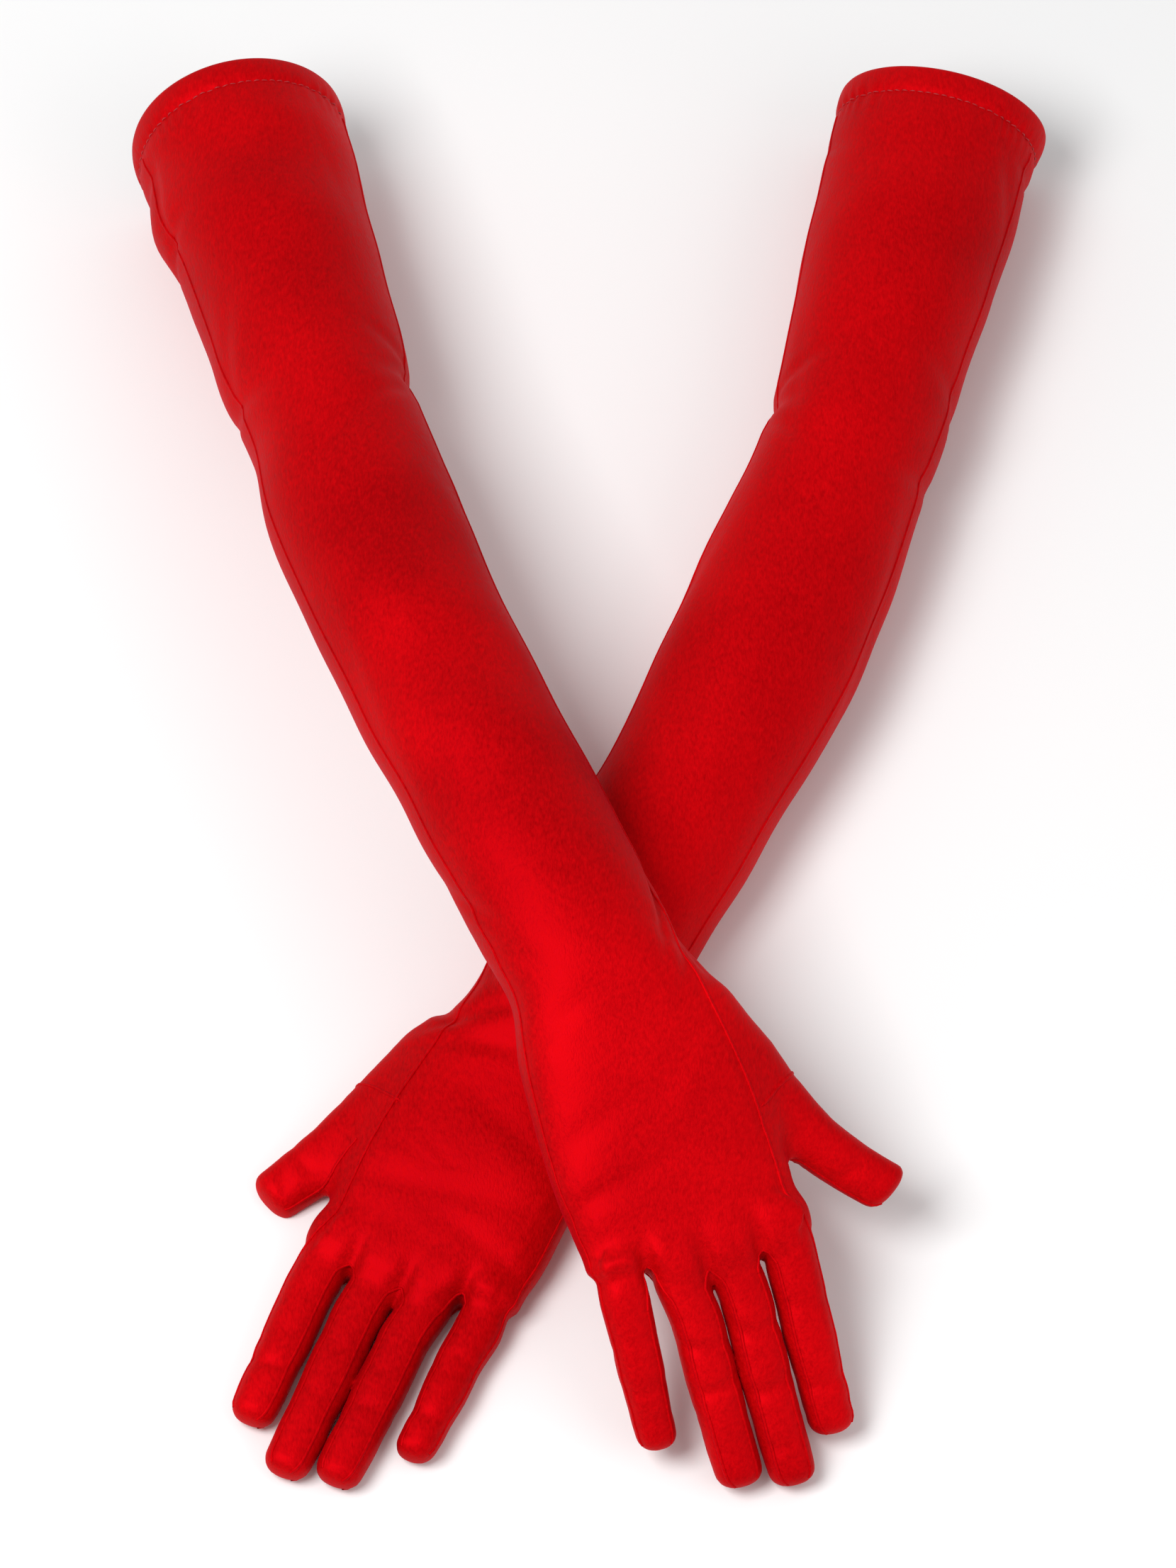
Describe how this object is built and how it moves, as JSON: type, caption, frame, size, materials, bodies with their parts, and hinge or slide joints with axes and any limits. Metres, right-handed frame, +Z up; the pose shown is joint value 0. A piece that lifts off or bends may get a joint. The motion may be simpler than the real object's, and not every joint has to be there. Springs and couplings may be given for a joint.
{
  "type": "pair of opera gloves",
  "caption": "Elbow-length stretch satin gloves, filled out as if worn and laid palm down with one forearm crossed over the other.",
  "frame": {"origin": "middle of the pair's outline on the surface it lies on", "axes": "+Z up, the backs of the hands up; fingers towards -Y, cuffs towards +Y; +X towards the right glove's thumb side"},
  "size_m": [0.3294, 0.5376, 0.1022],
  "materials": {
    "satin": "deep red stretch satin with a soft broad sheen",
    "hem_facing": "matte reverse side of the satin",
    "elastic": "woven elastic tape"
  },
  "bodies": {
    "left_forearm": {"left_forearm_back": "satin", "left_forearm_palm": "satin"},
    "left_upper_sleeve": {"left_upper_sleeve_back": "satin", "left_upper_sleeve_palm": "satin", "left_cuff_elastic": "elastic", "left_cuff_hem_facing": "hem_facing"},
    "left_hand": {"left_hand_back": "satin", "left_hand_palm": "satin"},
    "left_index": {"left_index_back": "satin", "left_index_palm": "satin", "left_index_fourchette_ulnar_side": "satin"},
    "left_middle": {"left_middle_back": "satin", "left_middle_palm": "satin", "left_middle_fourchette_thumb_side": "satin", "left_middle_fourchette_ulnar_side": "satin"},
    "left_ring": {"left_ring_back": "satin", "left_ring_palm": "satin", "left_ring_fourchette_thumb_side": "satin", "left_ring_fourchette_ulnar_side": "satin"},
    "left_little": {"left_little_back": "satin", "left_little_palm": "satin", "left_little_fourchette_thumb_side": "satin"},
    "left_thumb": {"left_thumb_back": "satin", "left_thumb_palm": "satin"},
    "right_forearm": {"right_forearm_back": "satin", "right_forearm_palm": "satin"},
    "right_upper_sleeve": {"right_upper_sleeve_back": "satin", "right_upper_sleeve_palm": "satin", "right_cuff_elastic": "elastic", "right_cuff_hem_facing": "hem_facing"},
    "right_hand": {"right_hand_back": "satin", "right_hand_palm": "satin"},
    "right_index": {"right_index_back": "satin", "right_index_palm": "satin", "right_index_fourchette_ulnar_side": "satin"},
    "right_middle": {"right_middle_back": "satin", "right_middle_palm": "satin", "right_middle_fourchette_thumb_side": "satin", "right_middle_fourchette_ulnar_side": "satin"},
    "right_ring": {"right_ring_back": "satin", "right_ring_palm": "satin", "right_ring_fourchette_thumb_side": "satin", "right_ring_fourchette_ulnar_side": "satin"},
    "right_little": {"right_little_back": "satin", "right_little_palm": "satin", "right_little_fourchette_thumb_side": "satin"},
    "right_thumb": {"right_thumb_back": "satin", "right_thumb_palm": "satin"}
  },
  "joints": [
    {"name": "right_glove_lift_off", "type": "slide", "parent": "left_forearm", "child": "right_forearm", "axis": [0, 0, 1], "range_m": [0, 0.12]},
    {"name": "left_elbow_bend", "type": "hinge", "parent": "left_forearm", "child": "left_upper_sleeve", "pos_m": [0.06166, 0.13212, 0.0279], "axis": [0, 0, 1], "range_deg": [0, 30]},
    {"name": "left_wrist_bend", "type": "hinge", "parent": "left_forearm", "child": "left_hand", "pos_m": [-0.03922, -0.08571, 0.0199], "axis": [0, 0, -1], "range_deg": [0, 20]},
    {"name": "left_index_lift", "type": "hinge", "parent": "left_hand", "child": "left_index", "pos_m": [-0.08761, -0.1864, 0.01555], "axis": [-0.8892, 0.4575, 0], "range_deg": [0, 45]},
    {"name": "left_middle_lift", "type": "hinge", "parent": "left_hand", "child": "left_middle", "pos_m": [-0.07134, -0.19478, 0.01555], "axis": [-0.8892, 0.4575, 0], "range_deg": [0, 45]},
    {"name": "left_ring_lift", "type": "hinge", "parent": "left_hand", "child": "left_ring", "pos_m": [-0.05507, -0.20315, 0.01555], "axis": [-0.8892, 0.4575, 0], "range_deg": [0, 45]},
    {"name": "left_little_lift", "type": "hinge", "parent": "left_hand", "child": "left_little", "pos_m": [-0.03915, -0.21134, 0.01555], "axis": [-0.8892, 0.4575, 0], "range_deg": [0, 45]},
    {"name": "left_thumb_lift", "type": "hinge", "parent": "left_hand", "child": "left_thumb", "pos_m": [-0.06283, -0.11611, 0.02155], "axis": [0.4564, 0.8898, 0], "range_deg": [0, 40]},
    {"name": "right_elbow_bend", "type": "hinge", "parent": "right_forearm", "child": "right_upper_sleeve", "pos_m": [-0.06038, 0.12593, 0.0562], "axis": [0.0436, -0.1335, -0.9901], "range_deg": [0, 30]},
    {"name": "right_wrist_bend", "type": "hinge", "parent": "right_forearm", "child": "right_hand", "pos_m": [0.02903, -0.0981, 0.07404], "axis": [0.0598, -0.1526, 0.9865], "range_deg": [0, 20]},
    {"name": "right_index_lift", "type": "hinge", "parent": "right_hand", "child": "right_index", "pos_m": [0.06452, -0.20055, 0.05089], "axis": [-0.9359, -0.3522, 0], "range_deg": [0, 45]},
    {"name": "right_middle_lift", "type": "hinge", "parent": "right_hand", "child": "right_middle", "pos_m": [0.0474, -0.207, 0.05089], "axis": [-0.9359, -0.3522, 0], "range_deg": [0, 45]},
    {"name": "right_ring_lift", "type": "hinge", "parent": "right_hand", "child": "right_ring", "pos_m": [0.03027, -0.21344, 0.05089], "axis": [-0.9359, -0.3522, 0], "range_deg": [0, 45]},
    {"name": "right_little_lift", "type": "hinge", "parent": "right_hand", "child": "right_little", "pos_m": [0.01351, -0.21975, 0.05089], "axis": [-0.9359, -0.3522, 0], "range_deg": [0, 45]},
    {"name": "right_thumb_lift", "type": "hinge", "parent": "right_hand", "child": "right_thumb", "pos_m": [0.04938, -0.13208, 0.0743], "axis": [0.3524, -0.9359, 0], "range_deg": [0, 40]}
  ]
}
